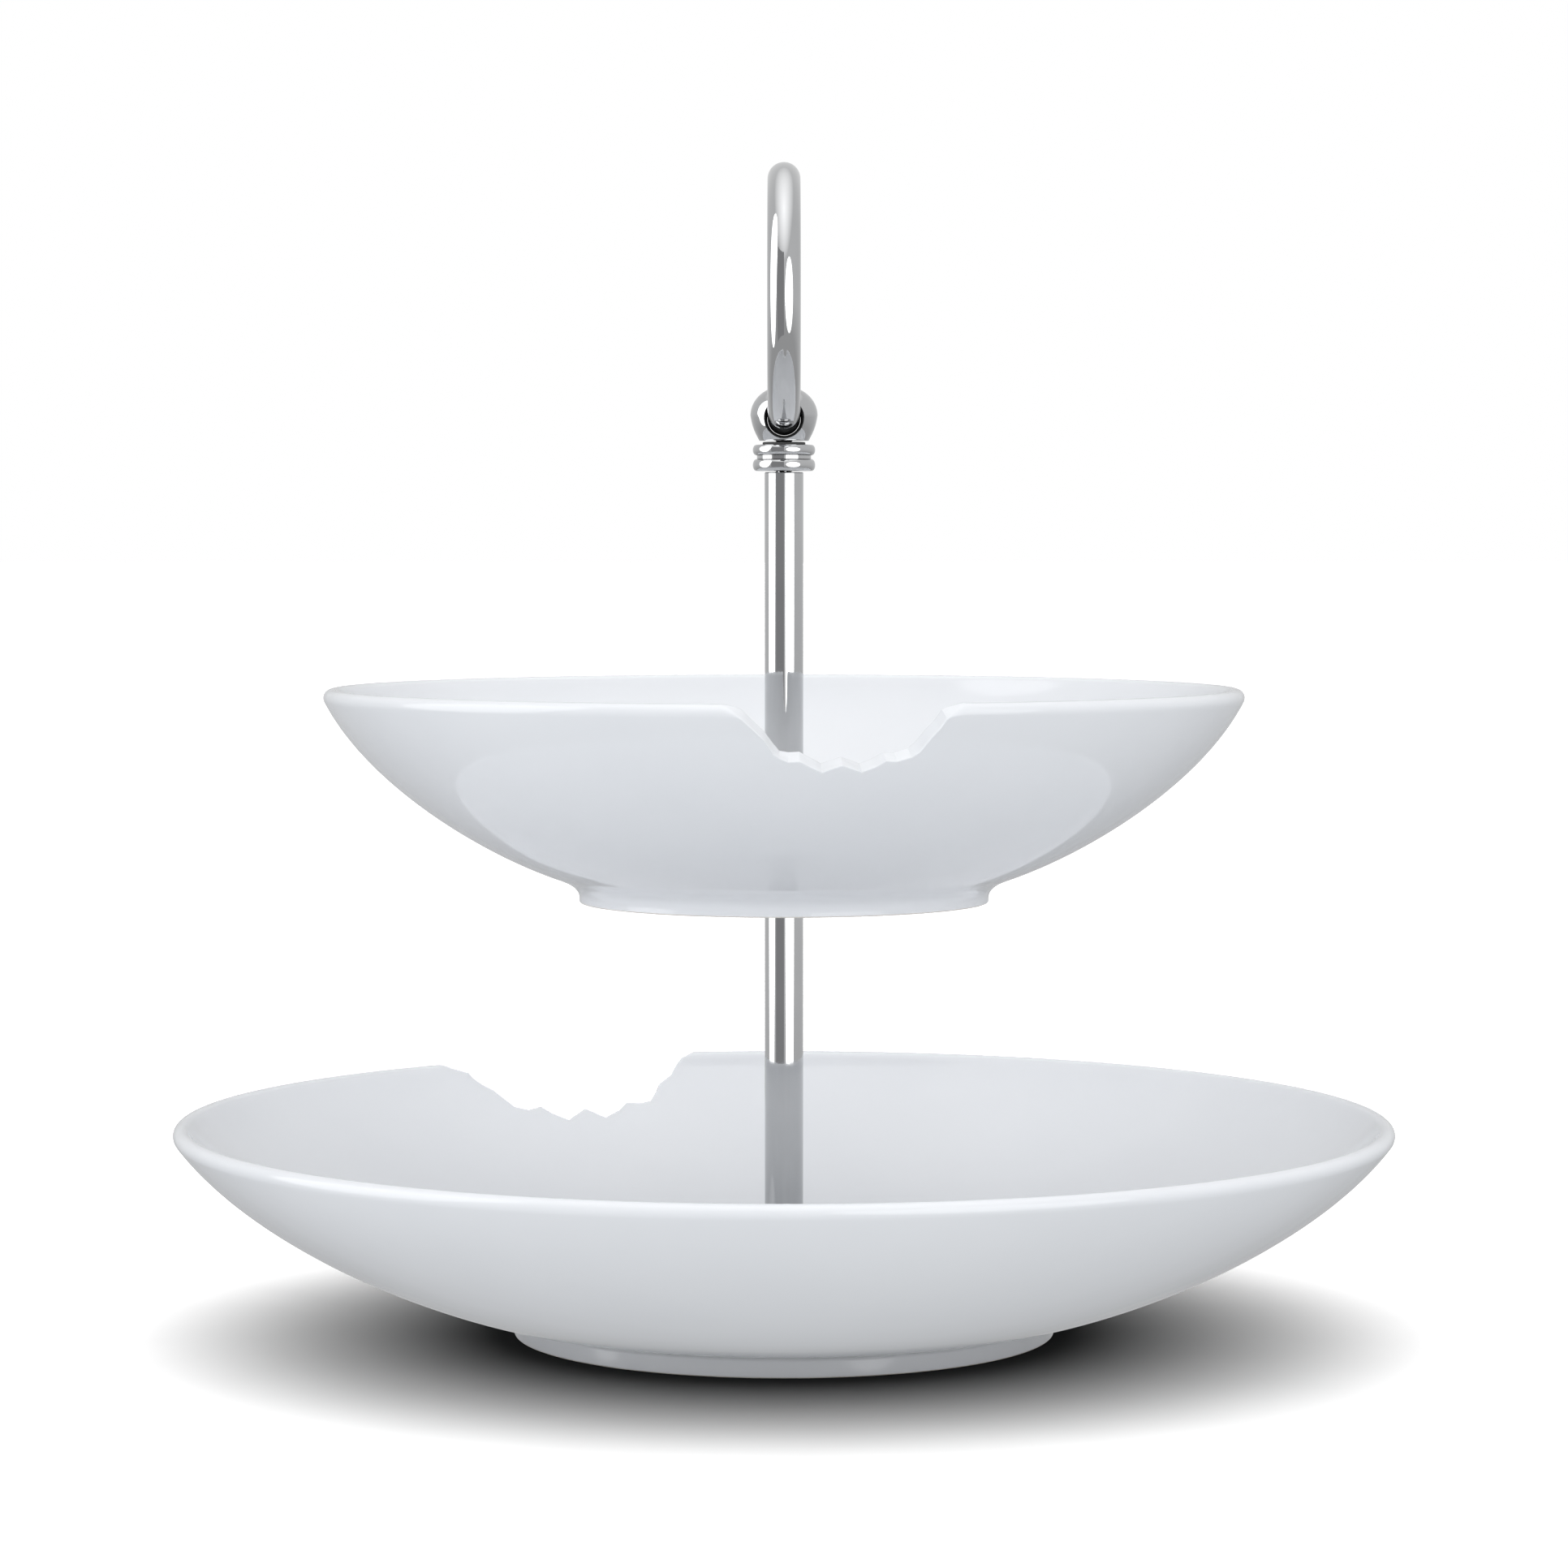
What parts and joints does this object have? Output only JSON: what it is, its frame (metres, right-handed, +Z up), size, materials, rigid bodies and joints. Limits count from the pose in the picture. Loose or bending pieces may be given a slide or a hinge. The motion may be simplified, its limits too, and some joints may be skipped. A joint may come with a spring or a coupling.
{
  "type": "tiered cake stand",
  "caption": "Tiered cake stand: porcelain bowls with notched rims on a chromed mast, with a ring handle that swings in a ball at the top.",
  "frame": {"origin": "centre of the lower bowl's foot, on the surface that the stand rests on", "axes": "+Z up the mast, the upper bowl's notch on the -Y side and the lower bowl's notch on the +Y side"},
  "size_m": [0.28, 0.28, 0.2687],
  "materials": {
    "porcelain": "white gloss glaze, bare on the foot rings",
    "chrome": "polished plating",
    "steel": "zinc-plated",
    "brass": "turned",
    "rubber": "matt moulded"
  },
  "bodies": {
    "base": {"lower_bowl": "porcelain", "lower_bowl_bush": "rubber", "lower_bowl_gasket": "rubber", "base_gasket": "rubber", "lower_tube": "chrome", "lower_tube_foot_plug": "brass", "lower_tube_head_plug": "brass", "base_screw": "steel", "base_washer": "steel", "lower_bowl_washer": "steel", "joint_stud": "steel", "upper_bowl_under_washer": "steel", "upper_bowl_washer": "steel", "upper_tube": "chrome", "upper_tube_foot_plug": "brass", "upper_tube_head_plug": "brass"},
    "upper_tier": {"upper_bowl": "porcelain", "upper_bowl_bush": "rubber", "upper_bowl_gasket": "rubber", "upper_bowl_under_gasket": "rubber"},
    "collar": {"finial_collar": "chrome"},
    "finial": {"finial_eye": "chrome"},
    "ring": {"ring_handle": "chrome"}
  },
  "joints": [
    {"name": "upper_bowl_turn", "type": "hinge", "parent": "base", "child": "upper_tier", "pos_m": [0, 0, 0.1049], "axis": [0, 0, 1], "continuous": true},
    {"name": "finial_lift", "type": "slide", "parent": "base", "child": "collar", "axis": [0, 0, 1], "range_m": [0, 0.007]},
    {"name": "finial_unscrew", "type": "hinge", "parent": "collar", "child": "finial", "pos_m": [0, 0, 0.2053], "axis": [0, 0, 1], "range_deg": [0, 3600]},
    {"name": "ring_swing", "type": "hinge", "parent": "finial", "child": "ring", "pos_m": [0, 0, 0.21029], "axis": [0, 1, 0], "range_deg": [-170, 170]}
  ],
  "couplings": [
    {"joint": "finial_lift", "follows": "finial_unscrew", "m_per_rad": 0.00011141}
  ]
}
